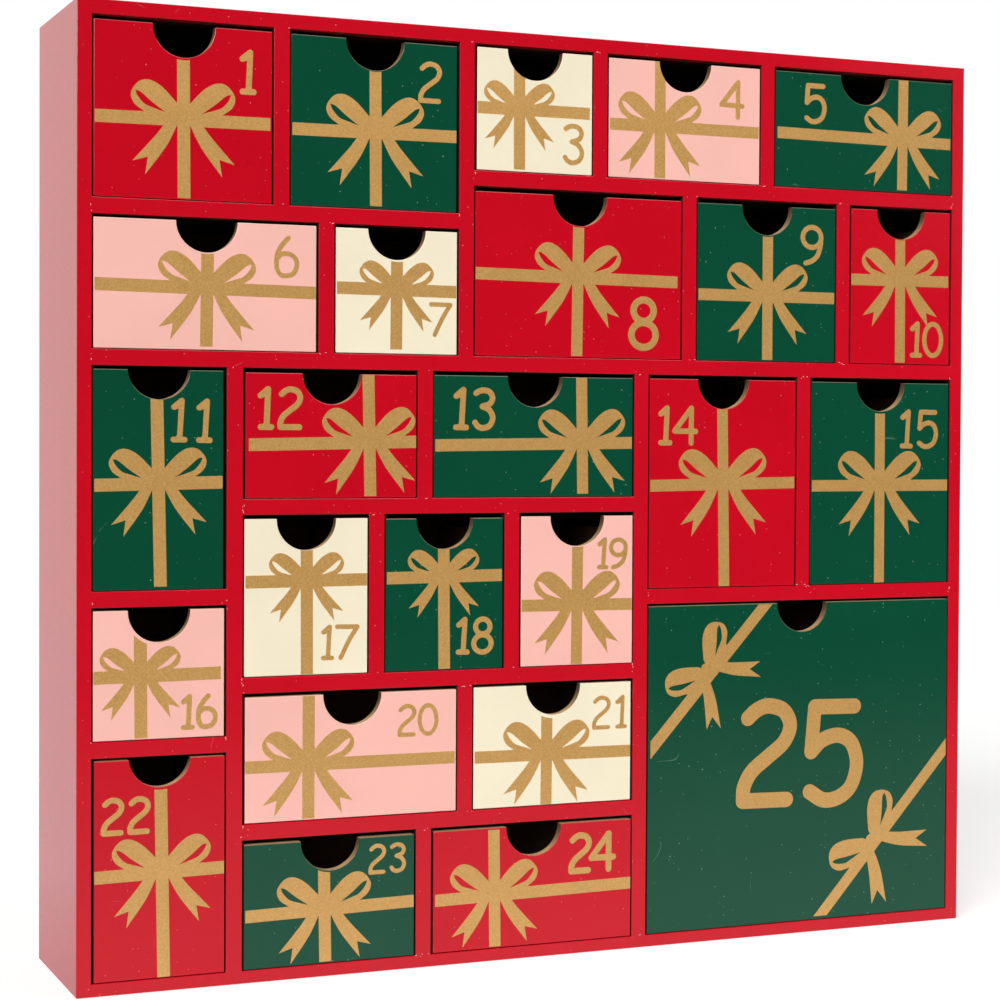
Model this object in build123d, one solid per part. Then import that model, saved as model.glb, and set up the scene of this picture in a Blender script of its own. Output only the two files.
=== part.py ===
from build123d import *

import os
from dataclasses import dataclass

# Wooden advent calendar: a shallow painted case, standing upright, whose front is a
# grid of twenty-five drawers of many sizes. Millimetres, +Z up, the front faces -Y,
# and the origin is the middle of the footprint.

# Boards of the case
case_depth = 72.6
side_thickness = 5.5
top_thickness = 5.6
bottom_thickness = 4.8
divider_thickness = 6.2
back_thickness = 3.0

# Clear widths of the columns of drawers
narrow_column = 50.8
medium_column = 69.6
half_column = 68.6
large_column = 86.6
drawer_9_column = 65.7
drawer_10_column = 50.3

# Clear heights of the rows of drawers
low_row = 49.4
middle_row = 61.4
upper_row = 66.6
tall_row = 87.0

# Drawers
front_thickness = 4.0
notch_radius = 11.7
tray_wall = 3.0
tray_floor = 3.0
tray_rim_drop = 6.0
drawer_side_gap = 0.6
drawer_top_gap = 1.0
drawer_bottom_gap = 0.3
drawer_back_gap = 0.5

# Brads
brad_diameter = 1.2
brad_length = 15.0
brad_head_diameter = 2.4
brad_head_thickness = 0.6
brad_inset = 12.0
corner_brad_depth = 0.8
corner_brad_inset = 16.0

# Clear sizes of the blocks that the grid is made of
upper_block_height = upper_row + divider_thickness + low_row
lower_block_height = 3 * (low_row + divider_thickness) + middle_row
middle_block_width = medium_column + divider_thickness + large_column
wide_block_width = 2 * half_column + divider_thickness

case_width = 2 * (side_thickness + divider_thickness) + narrow_column + middle_block_width + wide_block_width
case_height = bottom_thickness + lower_block_height + divider_thickness + upper_block_height + top_thickness
front_y = -case_depth / 2
back_y = case_depth / 2
panel_y = back_y - back_thickness
inner_left = side_thickness - case_width / 2
inner_right = case_width / 2 - side_thickness

# Marks a column or row that takes an equal share of what the stated ones leave
REST = None


@dataclass(frozen=True)
class Cell:
    """A clear rectangular opening in the front of the case."""

    left: float
    right: float
    low: float
    high: float


def board(x_span, y_span, z_span):
    """A plain rectangular board between the two ends of each span."""
    sizes = [high - low for low, high in (x_span, y_span, z_span)]
    corner = Pos(x_span[0], y_span[0], z_span[0])
    return corner * Box(*sizes, align=(Align.MIN, Align.MIN, Align.MIN))


def shared(total, sizes):
    """Fill in the sizes marked REST, so that sizes and dividers add up to the total."""
    stated = sum(size for size in sizes if size is not REST)
    left_over = total - stated - divider_thickness * (len(sizes) - 1)
    return [left_over / sizes.count(REST) if size is REST else size for size in sizes]


def split_columns(cell, widths):
    """Cut a cell from left to right into columns, and return them with the partitions between."""
    columns = []
    left = cell.left
    for width in shared(cell.right - cell.left, widths):
        columns.append(Cell(left, left + width, cell.low, cell.high))
        left += width + divider_thickness
    gaps = [Cell(a.right, b.left, cell.low, cell.high) for a, b in zip(columns, columns[1:])]
    return columns, gaps


def split_rows(cell, heights):
    """Cut a cell from the top down into rows, and return them with the shelves between."""
    rows = []
    high = cell.high
    for height in shared(cell.high - cell.low, heights):
        rows.append(Cell(cell.left, cell.right, high - height, high))
        high -= height + divider_thickness
    gaps = [Cell(cell.left, cell.right, b.high, a.low) for a, b in zip(rows, rows[1:])]
    return rows, gaps


def lay_out_grid():
    """Cut the inside of the case into the cells of the drawers.

    Returns the cells by drawer number, and the places of the shelves and of the partitions.
    """
    shelves = []
    partitions = []

    def rows_of(cell, *heights):
        rows, gaps = split_rows(cell, heights)
        shelves.extend(gaps)
        return rows

    def columns_of(cell, *widths):
        columns, gaps = split_columns(cell, widths)
        partitions.extend(gaps)
        return columns

    cells = {}
    inside = Cell(inner_left, inner_right, bottom_thickness, case_height - top_thickness)
    upper, lower = rows_of(inside, upper_block_height, REST)

    upper_left, upper_right = columns_of(upper, wide_block_width, REST)
    row_1_2, row_6_7 = rows_of(upper_left, REST, low_row)
    cells[1], cells[2] = columns_of(row_1_2, REST, REST)
    cells[6], cells[7] = columns_of(row_6_7, REST, narrow_column)
    row_3_5, row_8_10 = rows_of(upper_right, low_row, REST)
    cells[3], cells[4], cells[5] = columns_of(row_3_5, narrow_column, medium_column, REST)
    cells[8], cells[9], cells[10] = columns_of(row_8_10, REST, drawer_9_column, drawer_10_column)

    left_column, middle, lower_right = columns_of(lower, narrow_column, REST, wide_block_width)
    cells[11], cells[16], cells[22] = rows_of(left_column, REST, low_row, REST)
    row_12_13, row_17_19, row_20_21, row_23_24 = rows_of(middle, low_row, REST, low_row, low_row)
    cells[12], cells[13] = columns_of(row_12_13, medium_column, REST)
    cells[17], cells[18], cells[19] = columns_of(row_17_19, REST, REST, REST)
    cells[20], cells[21] = columns_of(row_20_21, REST, medium_column)
    cells[23], cells[24] = columns_of(row_23_24, medium_column, REST)
    row_14_15, cells[25] = rows_of(lower_right, tall_row, REST)
    cells[14], cells[15] = columns_of(row_14_15, REST, REST)
    return cells, shelves, partitions


def case_boards():
    """The four outer boards, with the sides between the top and the bottom, and the back panel let in."""
    whole_width = (-case_width / 2, case_width / 2)
    whole_depth = (front_y, back_y)
    between = (bottom_thickness, case_height - top_thickness)
    return {
        "top_board": board(whole_width, whole_depth, (between[1], case_height)),
        "bottom_board": board(whole_width, whole_depth, (0, between[0])),
        "left_side_board": board((whole_width[0], inner_left), whole_depth, between),
        "right_side_board": board((inner_right, whole_width[1]), whole_depth, between),
        "back_panel": board((inner_left, inner_right), (panel_y, back_y), between),
    }


def divider(place):
    """A shelf or partition from the front of the case to the back panel."""
    return board((place.left, place.right), (front_y, panel_y), (place.low, place.high))


def brad():
    """A fine nail that lies along Z, its head's top at the origin and its shank below."""
    head = Pos(0, 0, -brad_head_thickness / 2) * Cylinder(brad_head_diameter / 2, brad_head_thickness)
    shank = Pos(0, 0, -brad_length / 2) * Cylinder(brad_diameter / 2, brad_length)
    return head + shank


def back_brads(shelves, partitions):
    """Two brads through the back panel into the rear edge of each shelf and partition."""
    from_behind = Rot(-90, 0, 0) * brad()
    places = []
    for place in shelves:
        height = (place.low + place.high) / 2
        places += [(place.left + brad_inset, height), (place.right - brad_inset, height)]
    for place in partitions:
        middle = (place.left + place.right) / 2
        places += [(middle, place.low + brad_inset), (middle, place.high - brad_inset)]
    return [Pos(x, back_y, z) * from_behind for x, z in places]


def corner_brads():
    """Brads through the top and bottom boards into the ends of the sides, sunk below the paint."""
    brads = []
    for x in ((inner_left - case_width / 2) / 2, (inner_right + case_width / 2) / 2):
        for y in (front_y + corner_brad_inset, back_y - corner_brad_inset):
            brads.append(Pos(x, y, case_height - corner_brad_depth) * brad())
            brads.append(Pos(x, y, corner_brad_depth) * Rot(180, 0, 0) * brad())
    return brads


def drawer_cell(cell):
    """The space that a drawer fills, which is its cell less the running gaps."""
    return Cell(
        cell.left + drawer_side_gap,
        cell.right - drawer_side_gap,
        cell.low + drawer_bottom_gap,
        cell.high - drawer_top_gap,
    )


def drawer_front(space):
    """A drawer's front board with a half-round finger notch in its top edge."""
    plate = board((space.left, space.right), (front_y, front_y + front_thickness), (space.low, space.high))
    notch_place = Pos((space.left + space.right) / 2, front_y + front_thickness / 2, space.high)
    notch = notch_place * Rot(90, 0, 0) * Cylinder(notch_radius, 2 * front_thickness)
    return plate - notch


def drawer_tray(space):
    """The open tray behind a front: two side walls, and a back wall and a floor between them."""
    deep = (front_y + front_thickness, panel_y - drawer_back_gap)
    tall = (space.low, space.high - tray_rim_drop)
    inside = (space.left + tray_wall, space.right - tray_wall)
    floor_top = space.low + tray_floor
    return [
        board((space.left, inside[0]), deep, tall),
        board((inside[1], space.right), deep, tall),
        board(inside, deep, (space.low, floor_top)),
        board(inside, (deep[1] - tray_wall, deep[1]), (floor_top, tall[1])),
    ]


def build():
    """All pieces by node name, each a list of separate solids."""
    cells, shelves, partitions = lay_out_grid()
    nodes = {name: [solid] for name, solid in case_boards().items()}
    nodes["shelves"] = [divider(place) for place in shelves]
    nodes["partitions"] = [divider(place) for place in partitions]
    nodes["back_panel_brads"] = back_brads(shelves, partitions)
    nodes["corner_brads"] = corner_brads()
    for number, cell in sorted(cells.items()):
        space = drawer_cell(cell)
        nodes[f"drawer_{number:02d}_front"] = [drawer_front(space)]
        nodes[f"drawer_{number:02d}_tray"] = drawer_tray(space)
    return nodes


os.makedirs("parts", exist_ok=True)
for node_name, solids in build().items():
    shape = solids[0] if len(solids) == 1 else Compound(children=solids)
    export_step(shape, f"parts/{node_name}.step")
print(f"case {case_width:.1f} x {case_depth:.1f} x {case_height:.1f} mm")
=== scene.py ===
"""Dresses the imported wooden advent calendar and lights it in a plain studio.

The case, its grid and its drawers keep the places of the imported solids. Their edges are eased, the
boards are painted, and ribbons, bows and numbers are printed in gold on the drawer fronts.
"""

import logging
import math
from collections.abc import Callable, Iterable, Mapping, Sequence
from dataclasses import dataclass, field
from enum import Enum
from typing import Any, ClassVar

import bmesh
import bpy
from mathutils import Matrix, Vector
from mathutils.geometry import delaunay_2d_cdt


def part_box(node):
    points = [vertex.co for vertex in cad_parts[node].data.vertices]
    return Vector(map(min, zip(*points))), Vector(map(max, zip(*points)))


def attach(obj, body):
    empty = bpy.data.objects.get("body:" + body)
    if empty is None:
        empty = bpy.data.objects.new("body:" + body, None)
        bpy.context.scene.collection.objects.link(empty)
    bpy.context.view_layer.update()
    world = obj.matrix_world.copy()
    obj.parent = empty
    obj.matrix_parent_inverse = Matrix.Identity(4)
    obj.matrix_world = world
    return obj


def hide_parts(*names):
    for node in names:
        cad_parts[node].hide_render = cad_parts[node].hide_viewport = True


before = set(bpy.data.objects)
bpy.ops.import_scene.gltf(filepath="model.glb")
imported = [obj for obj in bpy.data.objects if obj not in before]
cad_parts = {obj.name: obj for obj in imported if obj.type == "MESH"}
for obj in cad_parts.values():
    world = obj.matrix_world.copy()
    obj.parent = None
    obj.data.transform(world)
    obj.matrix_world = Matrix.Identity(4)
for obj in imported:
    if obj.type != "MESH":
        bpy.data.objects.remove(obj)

log = logging.getLogger("calendar")

MM = 0.001
SAME_PLACE = 1e-6
EASE_STEPS = 2
SHARP_FROM = 35.0
FACING = 0.2
HALF_TURNED = 0.5
UPRIGHT = 0.7
NEARLY_FLAT = 0.98
ALONG_AXIS = 0.995
PRINT_WELD = 1e-5
NOTCH_FACETS = 96
NUMBER = "NodeSocketFloat"
PLACE = "NodeSocketVector"
FINISH = "NodeSocketMaterial"

Point = tuple[float, float]
Colour = tuple[float, float, float, float]
Box = tuple[Vector, Vector]


def colour(red: int, green: int, blue: int) -> Colour:
    """Turn a colour as a screen shows it, 0 to 255, into the linear one that shaders take.

    Args:
        red: Red part.
        green: Green part.
        blue: Blue part.

    Returns:
        The linear colour with full alpha.
    """
    linear = []
    for part in (red / 255, green / 255, blue / 255):
        linear.append(part / 12.92 if part <= 0.04045 else ((part + 0.055) / 1.055) ** 2.4)
    return (linear[0], linear[1], linear[2], 1.0)


def toned(base: Colour, factor: float) -> Colour:
    """Make a colour darker or lighter.

    Args:
        base: Linear colour.
        factor: Below 1 to darken it, above 1 to lighten it.

    Returns:
        The new colour, with no part over 1.
    """
    red, green, blue = (min(1.0, part * factor) for part in base[:3])
    return (red, green, blue, 1.0)


class Graph:
    """A node tree written as calls: a material's, the world's or a geometry modifier's."""

    def __init__(self, tree: bpy.types.NodeTree) -> None:
        """Start from an empty tree."""
        self.tree = tree
        tree.nodes.clear()

    def node(
        self,
        kind: str,
        settings: Mapping[str, Any] | None = None,
        inputs: Mapping[str | int, Any] | None = None,
    ) -> bpy.types.Node:
        """Make one node.

        Args:
            kind: Blender's name of the node type.
            settings: Properties of the node, which are set first.
            inputs: A plain value, a socket or a Value for each input, by name or index.

        Returns:
            The new node.
        """
        made = self.tree.nodes.new(kind)
        for name, value in (settings or {}).items():
            setattr(made, name, value)
        for key, value in (inputs or {}).items():
            self.feed(made.inputs[key], value)
        return made

    def feed(self, socket: bpy.types.NodeSocket, value: Any) -> None:
        """Link a socket or a Value into an input, or set the input to a plain value.

        Args:
            socket: Input to fill.
            value: Socket, Value or plain value.
        """
        source = value.socket if isinstance(value, Value) else value
        if isinstance(source, bpy.types.NodeSocket):
            self.tree.links.new(source, socket)
        else:
            socket.default_value = source

    def value(
        self,
        kind: str,
        output: str | int,
        settings: Mapping[str, Any] | None = None,
        inputs: Mapping[str | int, Any] | None = None,
    ) -> "Value":
        """Make one node and take one of its outputs for arithmetic.

        Args:
            kind: Blender's name of the node type.
            output: Name or index of the output.
            settings: Properties of the node.
            inputs: Values or links of its inputs.

        Returns:
            The output as a Value.
        """
        return Value(self, self.node(kind, settings, inputs).outputs[output])

    def mix(self, share: Any, first: Any, second: Any) -> bpy.types.NodeSocket:
        """Blend two colours.

        Args:
            share: How much of the second colour, 0 to 1.
            first: Colour at share 0.
            second: Colour at share 1.

        Returns:
            The socket of the blended colour.
        """
        settings = {"data_type": "RGBA", "clamp_factor": True}
        return self.node("ShaderNodeMix", settings, {0: share, 6: first, 7: second}).outputs[2]

    def noise(self, place: Any, scale: float, detail: float = 2.0, roughness: float = 0.5) -> "Value":
        """Soft noise from 0 to 1.

        Args:
            place: Socket of the coordinates.
            scale: Waves for each metre.
            detail: Number of finer layers.
            roughness: How strong the finer layers are.

        Returns:
            The noise as a Value.
        """
        inputs = {"Vector": place, "Scale": scale, "Detail": detail, "Roughness": roughness}
        return self.value("ShaderNodeTexNoise", "Fac", {"noise_dimensions": "3D"}, inputs)

    def stretched(self, place: Any, scale: tuple[float, float, float]) -> bpy.types.NodeSocket:
        """Coordinates scaled by axis, so that a pattern runs long in one direction."""
        return self.node("ShaderNodeMapping", None, {"Vector": place, "Scale": scale}).outputs[0]

    def place(self) -> bpy.types.NodeSocket:
        """The piece's own coordinates, in metres."""
        return self.node("ShaderNodeTexCoord").outputs["Object"]

    def attribute(self, name: str) -> "Value":
        """A face attribute of the piece."""
        return self.value("ShaderNodeAttribute", "Fac", {"attribute_name": name})

    def depth(self, place: Any) -> "Value":
        """How far back a place or a direction lies, along Y."""
        return self.value("ShaderNodeSeparateXYZ", "Y", None, {0: place})

    def vector(self, **parts: Any) -> bpy.types.NodeSocket:
        """A vector put together from its parts X, Y and Z."""
        return self.node("ShaderNodeCombineXYZ", None, parts).outputs[0]

    def bump(self, height: "Value", strength: float, rise: float) -> bpy.types.NodeSocket:
        """A normal that follows a height pattern.

        Args:
            height: Pattern from 0 to 1.
            strength: How much of the pattern shows.
            rise: Height of the pattern in metres.

        Returns:
            The socket of the normal.
        """
        inputs = {"Strength": strength, "Distance": rise, "Height": height}
        return self.node("ShaderNodeBump", None, inputs).outputs[0]

    def surface(self, inputs: Mapping[str | int, Any]) -> bpy.types.Node:
        """A Principled shader with these inputs."""
        return self.node("ShaderNodeBsdfPrincipled", None, inputs)


@dataclass(frozen=True)
class Value:
    """A number that a node tree works out, for use in Python expressions."""

    graph: Graph
    socket: bpy.types.NodeSocket

    def _math(self, operation: str, *operands: Any) -> "Value":
        """Add one Math node on the operands."""
        return self.graph.value("ShaderNodeMath", 0, {"operation": operation}, dict(enumerate(operands)))

    def __add__(self, other: Any) -> "Value":
        """self + other."""
        return self._math("ADD", self, other)

    def __radd__(self, other: Any) -> "Value":
        """other + self."""
        return self._math("ADD", other, self)

    def __sub__(self, other: Any) -> "Value":
        """self - other."""
        return self._math("SUBTRACT", self, other)

    def __rsub__(self, other: Any) -> "Value":
        """other - self."""
        return self._math("SUBTRACT", other, self)

    def __mul__(self, other: Any) -> "Value":
        """self * other."""
        return self._math("MULTIPLY", self, other)

    def __rmul__(self, other: Any) -> "Value":
        """other * self."""
        return self._math("MULTIPLY", other, self)

    def at_most(self, other: Any) -> "Value":
        """The smaller of the two."""
        return self._math("MINIMUM", self, other)

    def at_least(self, other: Any) -> "Value":
        """The larger of the two."""
        return self._math("MAXIMUM", self, other)

    def size(self) -> "Value":
        """The number without its sign."""
        return self._math("ABSOLUTE", self)

    def clamped(self) -> "Value":
        """The number held between 0 and 1."""
        return self.at_least(0.0).at_most(1.0)

    def above(self, start: float, slope: float) -> "Value":
        """0 up to a start value, then rising at a slope to 1."""
        return ((self - start) * slope).clamped()

    def swing(self, width: float) -> "Value":
        """Noise brought to a swing of a given width about 0."""
        return (self - 0.5) * width


@dataclass(frozen=True)
class Finish:
    """A surface finish, made into one material at its first use."""

    name: str
    _made: ClassVar[dict[str, bpy.types.Material]] = {}

    def material(self) -> bpy.types.Material:
        """Make the finish into a material, once.

        Returns:
            The material.
        """
        if self.name not in Finish._made:
            material = bpy.data.materials.new(self.name)
            material.use_nodes = True
            graph = Graph(material.node_tree)
            surface = self.shader(graph)
            graph.node("ShaderNodeOutputMaterial", None, {"Surface": surface.outputs[0]})
            Finish._made[self.name] = material
        return Finish._made[self.name]

    def shader(self, graph: Graph) -> bpy.types.Node:
        """Build the shader node. Each kind of finish has its own."""
        raise NotImplementedError


@dataclass(frozen=True)
class Paint(Finish):
    """Sprayed satin paint with dust specks, hair scratches, worn edges and a painted highlight on edges
    facing up.

    Dark bare board shows inside the case, where the paint ends; its darkness is painted shade.
    """

    coat: Colour = (0.5, 0.5, 0.5, 1.0)
    speck: Colour = (0.8, 0.8, 0.8, 1.0)
    chip: Colour = (0.8, 0.7, 0.6, 1.0)
    # Board colour where the paint ends inside the case, dark as painted shade.
    board: Colour = (0.03, 0.016, 0.01, 1.0)
    roughness: float = 0.14
    mottle: float = 0.93
    speck_strength: float = 0.9
    scratch_strength: float = 0.25
    chip_strength: float = 0.55
    # Strength of the pale painted highlight on edges that face up.
    rim_strength: float = 0.35
    painted_to: float = -36.0 * MM
    streaks: tuple[float, float, float] = (420.0, 420.0, 9.0)
    peel_rise: float = 0.06 * MM

    def shader(self, graph: Graph) -> bpy.types.Node:
        """Build the paint.

        Args:
            graph: Node tree to build it in.

        Returns:
            The shader node.
        """
        place = graph.place()
        cloud = graph.noise(place, scale=24.0, detail=3.0)
        orange_peel = graph.noise(place, scale=850.0)
        streak = graph.noise(graph.stretched(place, self.streaks), scale=1.0, detail=3.0)

        specks = self.dust(graph, place)
        winding = graph.noise(place, scale=48.0, detail=1.0) - 0.5
        hairs = ((0.005 - winding.size()) * 300.0).clamped()
        patches = graph.noise(place, scale=75.0).above(start=0.67, slope=14.0)
        scratches = hairs * patches * self.speck_strength * self.scratch_strength

        edge = graph.attribute("edge")
        flaking = graph.noise(place, scale=800.0, detail=3.0, roughness=0.65)
        # Edges marked 2 face up and get a pale painted highlight besides the chips.
        highlight_rims = (edge - 1.0).clamped() * self.rim_strength
        chips = (edge.clamped() * flaking.above(start=0.63, slope=9.0) * self.chip_strength + highlight_rims).clamped()
        # Past the painted depth the coat gives way to dark board: bare board and painted shade inside the
        # case.
        behind = graph.depth(place) - self.painted_to
        bare = (behind * graph.attribute("inside") * 1500.0).clamped()

        shade = graph.mix((cloud - 0.3) * 2.2, toned(self.coat, self.mottle), self.coat)
        dusty = graph.mix((specks + scratches).clamped(), shade, self.speck)
        chipped = graph.mix(chips, dusty, self.chip)
        worn = graph.mix(bare, chipped, self.board)
        gloss = self.roughness + streak.swing(0.015) + cloud.swing(0.05) + chips * 0.4 + bare * 0.5
        relief = graph.bump(orange_peel + specks * 1.5, strength=0.12, rise=self.peel_rise)
        return graph.surface({"Base Color": worn, "Roughness": gloss, "Normal": relief, "IOR": 1.5})

    def dust(self, graph: Graph, place: bpy.types.NodeSocket) -> Value:
        """Grains of dust under the paint, of many sizes and some paler than others.

        Args:
            graph: Node tree to build them in.
            place: Socket of the coordinates.

        Returns:
            How much of a grain shows, 0 to 1.
        """
        grains = graph.node("ShaderNodeTexVoronoi", {"feature": "F1"}, {"Vector": place, "Scale": 480.0})
        split = graph.node("ShaderNodeSeparateColor", None, {0: grains.outputs["Color"]})
        chance, paleness = (Value(graph, split.outputs[index]) for index in (0, 1))
        radius = chance * 0.23 - 0.1
        distance = Value(graph, grains.outputs["Distance"])
        return ((radius - distance) * 40.0).clamped() * (paleness * 0.8 + 0.2) * self.speck_strength


@dataclass(frozen=True)
class GoldInk(Finish):
    """Screen-printed gold ink with a fine grain of metal flakes, under a clear film and rubbed in places."""

    dull: Colour = (0.5, 0.3, 0.1, 1.0)
    bright: Colour = (0.6, 0.4, 0.2, 1.0)
    rubbed: Colour = (0.07, 0.06, 0.03, 1.0)
    rub_strength: float = 0.16
    rub_lines: tuple[float, float, float] = (420.0, 420.0, 2400.0)
    metal: float = 0.6
    roughness: float = 0.46
    flake_rise: float = 0.04 * MM
    film: float = 0.7
    film_roughness: float = 0.16

    def shader(self, graph: Graph) -> bpy.types.Node:
        """Build the ink.

        Args:
            graph: Node tree to build it in.

        Returns:
            The shader node.
        """
        place = graph.place()
        grain = graph.noise(place, scale=2000.0, roughness=0.6)
        cloud = graph.noise(place, scale=60.0)
        even = graph.mix((grain.swing(1.9) + cloud.swing(0.4) + 0.5).clamped(), self.dull, self.bright)
        rubs = graph.noise(graph.stretched(place, self.rub_lines), scale=1.0).above(start=0.56, slope=9.0)
        patches = graph.noise(place, scale=36.0, detail=1.0).above(start=0.66, slope=14.0)
        tone = graph.mix(rubs * patches * self.rub_strength, even, self.rubbed)
        return graph.surface(
            {
                "Base Color": tone,
                "Roughness": self.roughness + grain.swing(0.25),
                "Metallic": self.metal,
                "Normal": graph.bump(grain, strength=0.3, rise=self.flake_rise),
                "Coat Weight": self.film,
                "Coat Roughness": self.film_roughness,
            }
        )


@dataclass(frozen=True)
class BareBoard(Finish):
    """Unpainted fibreboard with short fibres and darker flecks, and painted shade where a cut edge is marked.
    """

    fibre: Colour = (0.5, 0.35, 0.2, 1.0)
    fleck: Colour = (0.2, 0.13, 0.08, 1.0)
    deep: Colour = (0.022, 0.006, 0.002, 1.0)
    paleness: float = 1.22
    fleck_strength: float = 0.7
    roughness: float = 0.78
    fibre_rise: float = 0.1 * MM
    fibre_lines: tuple[float, float, float] = (300.0, 900.0, 900.0)
    fleck_lines: tuple[float, float, float] = (500.0, 1400.0, 1400.0)

    def shader(self, graph: Graph) -> bpy.types.Node:
        """Build the board.

        Args:
            graph: Node tree to build it in.

        Returns:
            The shader node.
        """
        place = graph.place()
        cloud = graph.noise(place, scale=45.0, detail=3.0)
        fibres = graph.noise(graph.stretched(place, self.fibre_lines), scale=1.0, detail=4.0, roughness=0.65)
        flecks = graph.noise(graph.stretched(place, self.fleck_lines), scale=1.0).above(start=0.64, slope=8.0)
        share = (fibres.swing(1.6) + cloud.swing(0.6) + 0.45).clamped()
        tone = graph.mix(share, self.fibre, toned(self.fibre, self.paleness))
        dotted = graph.mix(flecks * self.fleck_strength, tone, self.fleck)
        # Painted shade on cut edges, as much as the face attribute shade gives.
        shaded = graph.mix(graph.attribute("shade"), dotted, self.deep)
        relief = graph.bump(fibres, strength=0.35, rise=self.fibre_rise)
        gloss = self.roughness + fibres.swing(0.2)
        return graph.surface({"Base Color": shaded, "Roughness": gloss, "Normal": relief})


@dataclass(frozen=True)
class NailSteel(Finish):
    """Bright drawn steel with faint tool marks."""

    steel: Colour = (0.55, 0.55, 0.56, 1.0)
    dullness: float = 0.6
    roughness: float = 0.28
    tool_lines: tuple[float, float, float] = (4000.0, 300.0, 900.0)

    def shader(self, graph: Graph) -> bpy.types.Node:
        """Build the steel.

        Args:
            graph: Node tree to build it in.

        Returns:
            The shader node.
        """
        marks = graph.noise(graph.stretched(graph.place(), self.tool_lines), scale=1.0, detail=3.0)
        tone = graph.mix((marks - 0.35) * 2.5, toned(self.steel, self.dullness), self.steel)
        gloss = self.roughness + marks * 0.25
        return graph.surface({"Base Color": tone, "Roughness": gloss, "Metallic": 1.0})


CASE_RED = Paint(
    "case_red_paint",
    coat=colour(201, 12, 33),
    speck=colour(240, 140, 140),
    chip=colour(226, 92, 92),
)
FILLER = Paint("joint_filler", coat=colour(236, 196, 192), speck=colour(250, 240, 236), speck_strength=0.5)
GOLD = GoldInk("gold_print_ink", dull=colour(225, 171, 93), bright=colour(255, 201, 123))
FRONT_BOARD = BareBoard("bare_front_board", fibre=colour(206, 164, 116), fleck=colour(120, 86, 60))
# Dark red on the eased lower edges above the drawers: painted shade.
PAINTED_SHADE_RED = Paint(
    "painted_shade_red_paint",
    coat=colour(52, 4, 10),
    speck=colour(90, 30, 32),
    chip=colour(90, 40, 38),
)
# Dark board on the side and lower edges of the drawer fronts: painted shade in the gaps.
PAINTED_SHADE_EDGE = BareBoard("painted_shade_front_edge", fibre=colour(74, 48, 36), fleck=colour(44, 28, 20))
# Tray board, darker than the fronts' bare board: painted shade inside the case.
TRAY_BOARD_IN_SHADE = BareBoard("bare_tray_board_painted_shade", fibre=colour(116, 84, 58), fleck=colour(70, 48, 34))
BACK_BOARD = BareBoard("bare_back_board", fibre=colour(146, 108, 74), fleck=colour(86, 58, 38))
STEEL = NailSteel("nail_steel", steel=colour(190, 190, 192))


class FrontPaint(Enum):
    """The four colours of the drawer fronts."""

    RED = "front_red"
    GREEN = "front_green"
    PINK = "front_pink"
    CREAM = "front_cream"

    def finish(self) -> Paint:
        """The paint of this colour."""
        return FRONT_PAINTS[self]


FRONT_PAINTS = {
    FrontPaint.RED: Paint(
        "front_red_paint",
        coat=colour(199, 9, 31),
        speck=colour(240, 140, 140),
        chip=colour(214, 120, 108),
    ),
    FrontPaint.GREEN: Paint(
        "front_green_paint",
        coat=colour(10, 74, 52),
        speck=colour(150, 185, 165),
        chip=colour(176, 160, 128),
    ),
    FrontPaint.PINK: Paint(
        "front_pink_paint",
        coat=colour(248, 190, 178),
        speck=colour(214, 140, 130),
        chip=colour(255, 226, 214),
        speck_strength=0.2,
    ),
    FrontPaint.CREAM: Paint(
        "front_cream_paint",
        coat=colour(244, 234, 206),
        speck=colour(208, 186, 150),
        chip=colour(255, 250, 236),
        speck_strength=0.2,
    ),
}


def new_object(name: str, mesh: bpy.types.Mesh) -> bpy.types.Object:
    """Put a mesh into the scene as an object at the origin.

    Args:
        name: Name of the object.
        mesh: Its mesh.

    Returns:
        The object.
    """
    made = bpy.data.objects.new(name, mesh)
    bpy.context.scene.collection.objects.link(made)
    return made


def settle(piece: bpy.types.Object) -> None:
    """Turn what the modifiers of a piece make into its plain mesh, and take them off.

    Args:
        piece: Object with modifiers.
    """
    evaluated = piece.evaluated_get(bpy.context.evaluated_depsgraph_get())
    mesh = bpy.data.meshes.new_from_object(evaluated)
    piece.modifiers.clear()
    piece.data = mesh
    mesh.name = piece.name


def add_bevel(piece: bpy.types.Object, width: float) -> None:
    """Ease every sharp edge of a piece with a Bevel modifier.

    Args:
        piece: Object to ease.
        width: How far each edge is eased.
    """
    bevel = piece.modifiers.new("ease", "BEVEL")
    bevel.width = width
    bevel.segments = EASE_STEPS
    bevel.limit_method = "ANGLE"
    bevel.angle_limit = math.radians(SHARP_FROM)
    bevel.harden_normals = False


def ease_edges(shape: bmesh.types.BMesh, edges: Sequence[bmesh.types.BMEdge], width: float) -> None:
    """Ease chosen edges of a shape.

    Args:
        shape: Mesh under work.
        edges: Edges to ease.
        width: How far each is eased.
    """
    bmesh.ops.bevel(shape, geom=edges, offset=width, segments=EASE_STEPS, profile=0.5, affect="EDGES")


def eased_boxes(name: str, boxes: Sequence[Box], width: float) -> bpy.types.Mesh:
    """Make plain boards with every edge eased.

    Args:
        name: Name of the mesh.
        boxes: Lowest and highest corner of each board.
        width: How far each edge is eased.

    Returns:
        The mesh.
    """
    shape = bmesh.new()
    for low, high in boxes:
        verts = bmesh.ops.create_cube(shape, size=1.0)["verts"]
        bmesh.ops.scale(shape, vec=high - low, verts=verts)
        bmesh.ops.translate(shape, vec=(low + high) / 2, verts=verts)
    ease_edges(shape, shape.edges, width)
    mesh = bpy.data.meshes.new(name)
    shape.to_mesh(mesh)
    shape.free()
    return mesh


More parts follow.
